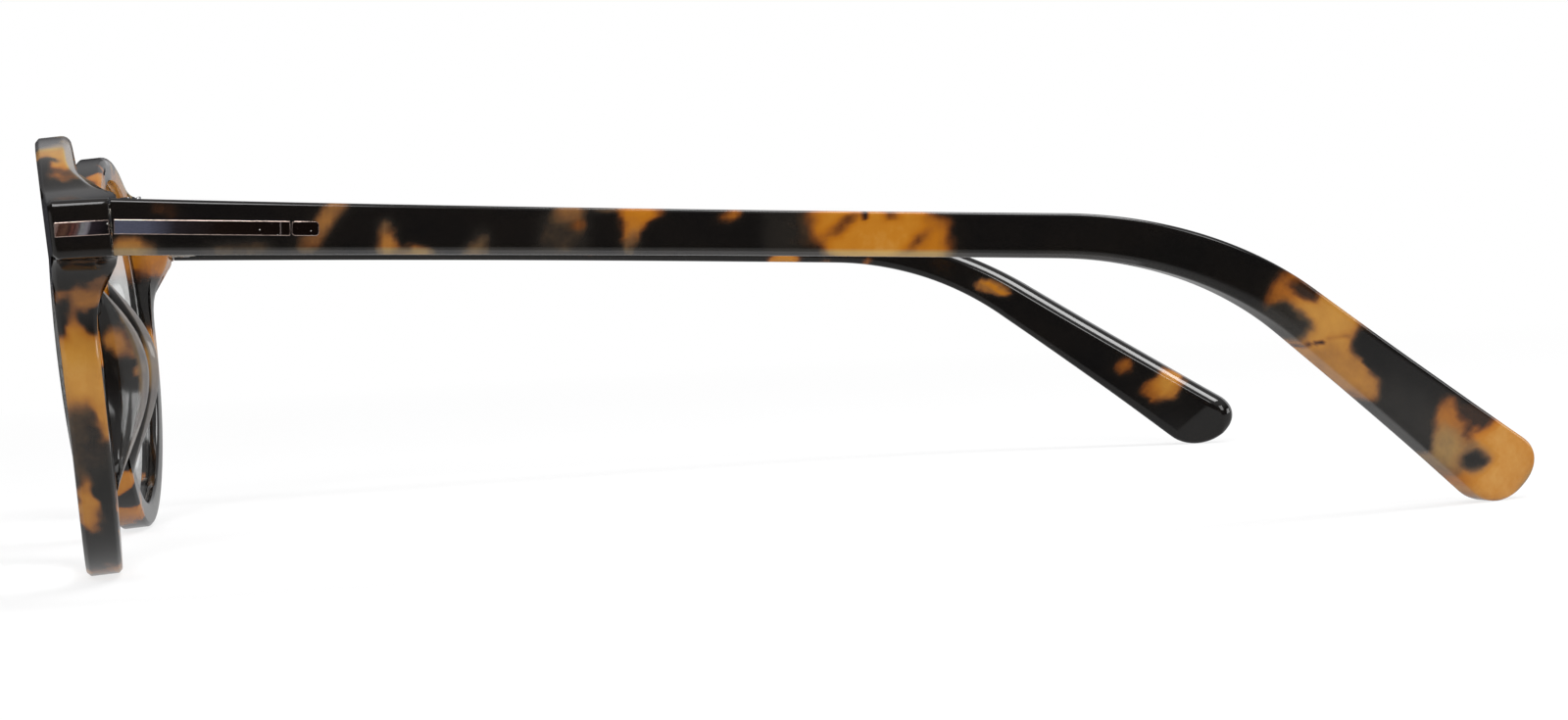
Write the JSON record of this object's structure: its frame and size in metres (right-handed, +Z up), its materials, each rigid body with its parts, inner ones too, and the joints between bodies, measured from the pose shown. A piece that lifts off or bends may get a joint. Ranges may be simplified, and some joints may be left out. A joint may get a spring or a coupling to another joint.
{
  "type": "round eyeglasses",
  "caption": "Full-rim round acetate eyeglasses with clear lenses, glued nose pads, inlaid metal bars and wire-cored temples that fold on barrel hinges.",
  "frame": {"origin": "on the floor below the middle of the open glasses, midway between the temples and between the front's face and the temples' ends", "axes": "+X towards the wearer's left, +Y back towards the ears, +Z up"},
  "size_m": [0.1512, 0.145, 0.0443],
  "materials": {
    "acetate": "polished tortoiseshell acetate",
    "pad_acetate": "polished tortoiseshell acetate",
    "lens": "clear, polished",
    "hinge_metal": "satin",
    "screw_steel": "bright",
    "bar_metal": "dark mirror polish",
    "wire_metal": "drawn"
  },
  "bodies": {
    "front": {"front_frame": "acetate", "left_lens": "lens", "right_lens": "lens", "left_nose_pad": "pad_acetate", "right_nose_pad": "pad_acetate", "left_front_hinge": "hinge_metal", "right_front_hinge": "hinge_metal", "left_endpiece_bar": "bar_metal", "right_endpiece_bar": "bar_metal", "left_hinge_screw": "screw_steel", "right_hinge_screw": "screw_steel"},
    "left_temple_body": {"left_temple": "acetate", "left_core_wire": "wire_metal", "left_temple_hinge": "hinge_metal", "left_temple_bar": "bar_metal", "left_short_bar": "bar_metal"},
    "right_temple_body": {"right_temple": "acetate", "right_core_wire": "wire_metal", "right_temple_hinge": "hinge_metal", "right_temple_bar": "bar_metal", "right_short_bar": "bar_metal"}
  },
  "joints": [
    {"name": "left_temple_fold", "type": "hinge", "parent": "front", "child": "left_temple_body", "pos_m": [0.0649, -0.06158, 0.03434], "axis": [0, -0.0021, 1], "range_deg": [0, 90]},
    {"name": "right_temple_fold", "type": "hinge", "parent": "front", "child": "right_temple_body", "pos_m": [-0.0649, -0.06158, 0.03434], "axis": [0, 0.0021, -1], "range_deg": [0, 80]}
  ]
}
